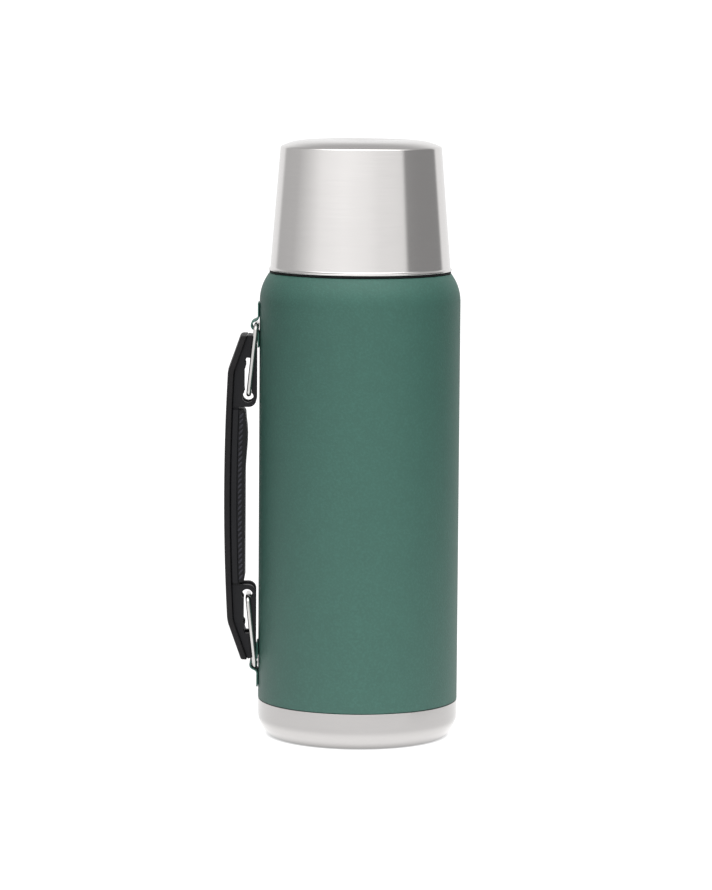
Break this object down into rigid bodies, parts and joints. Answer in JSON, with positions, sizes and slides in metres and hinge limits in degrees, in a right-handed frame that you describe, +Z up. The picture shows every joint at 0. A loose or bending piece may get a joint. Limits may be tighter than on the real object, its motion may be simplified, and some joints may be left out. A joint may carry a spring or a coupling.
{
  "type": "vacuum flask",
  "caption": "Double-walled steel vacuum flask with a screw-on cup, a push-button pouring stopper and a side handle that folds out on wire links.",
  "frame": {"origin": "centre of the base, on the surface the flask stands on; the origin is on the body's axis", "axes": "+Z up along the body's axis, -X towards the side handle, Y across the handle"},
  "size_m": [0.1174, 0.1, 0.2982],
  "materials": {
    "green_coat": "fine-textured satin powder coat",
    "brushed_steel": "brushed round the axis",
    "plain_steel": "electropolished",
    "wire_steel": "polished stainless wire",
    "black_plastic": "fine moulded grain",
    "gloss_plastic": "satin gloss",
    "grip_rubber": "ribbed, matte",
    "seal_rubber": "matte",
    "silicone": "translucent grey, matte"
  },
  "bodies": {
    "flask": {"outer_shell": "green_coat", "inner_vessel": "plain_steel", "base_cup": "brushed_steel", "bottom_plate": "plain_steel", "vacuum_seal_plug": "plain_steel", "getter_capsule": "plain_steel", "upper_bracket": "green_coat", "lower_bracket": "green_coat"},
    "cup_seal": {"cup_seal_ring": "seal_rubber"},
    "cup": {"cup_outer_shell": "brushed_steel", "cup_inner_liner": "brushed_steel", "cup_thread_ring": "black_plastic"},
    "stopper_seal": {"stopper_gasket": "silicone"},
    "stopper": {"stopper_housing": "black_plastic", "stopper_top_cap": "black_plastic", "button_spring": "wire_steel"},
    "valve": {"pour_button": "gloss_plastic", "valve_stem": "plain_steel", "valve_disc": "gloss_plastic", "valve_seal": "silicone"},
    "upper_link": {"upper_wire_link": "wire_steel"},
    "handle": {"handle_frame": "black_plastic", "handle_outer_cover": "black_plastic", "handle_grip_pad": "grip_rubber"},
    "lower_link": {"lower_wire_link": "wire_steel"}
  },
  "joints": [
    {"name": "cup_lift", "type": "slide", "parent": "flask", "child": "cup_seal", "axis": [0, 0, 1], "range_m": [0, 0.09]},
    {"name": "cup_turn", "type": "hinge", "parent": "cup_seal", "child": "cup", "pos_m": [0, 0, 0.24], "axis": [0, 0, 1], "range_deg": [0, 450]},
    {"name": "stopper_lift", "type": "slide", "parent": "flask", "child": "stopper_seal", "axis": [0, 0, 1], "range_m": [0, 0.0306]},
    {"name": "stopper_turn", "type": "hinge", "parent": "stopper_seal", "child": "stopper", "pos_m": [0, 0, 0.25], "axis": [0, 0, 1], "range_deg": [0, 450]},
    {"name": "button_press", "type": "slide", "parent": "stopper", "child": "valve", "axis": [0, 0, -1], "range_m": [0, 0.0035], "stiffness_N_per_m": 800, "springref_m": -0.006, "deforming": ["button_spring"]},
    {"name": "upper_link_swing", "type": "hinge", "parent": "flask", "child": "upper_link", "pos_m": [-0.0514, 0, 0.2062], "axis": [0, 1, 0], "range_deg": [0, 34]},
    {"name": "handle_swing", "type": "hinge", "parent": "upper_link", "child": "handle", "pos_m": [-0.0551, 0, 0.1719], "axis": [0, 1, 0], "range_deg": [-34, 0]},
    {"name": "lower_link_swing", "type": "hinge", "parent": "flask", "child": "lower_link", "pos_m": [-0.0514, 0, 0.0356], "axis": [0, 1, 0], "range_deg": [-34, 0]}
  ],
  "couplings": [
    {"joint": "handle_swing", "follows": "upper_link_swing", "ratio": -1},
    {"joint": "lower_link_swing", "follows": "upper_link_swing", "ratio": -1}
  ]
}
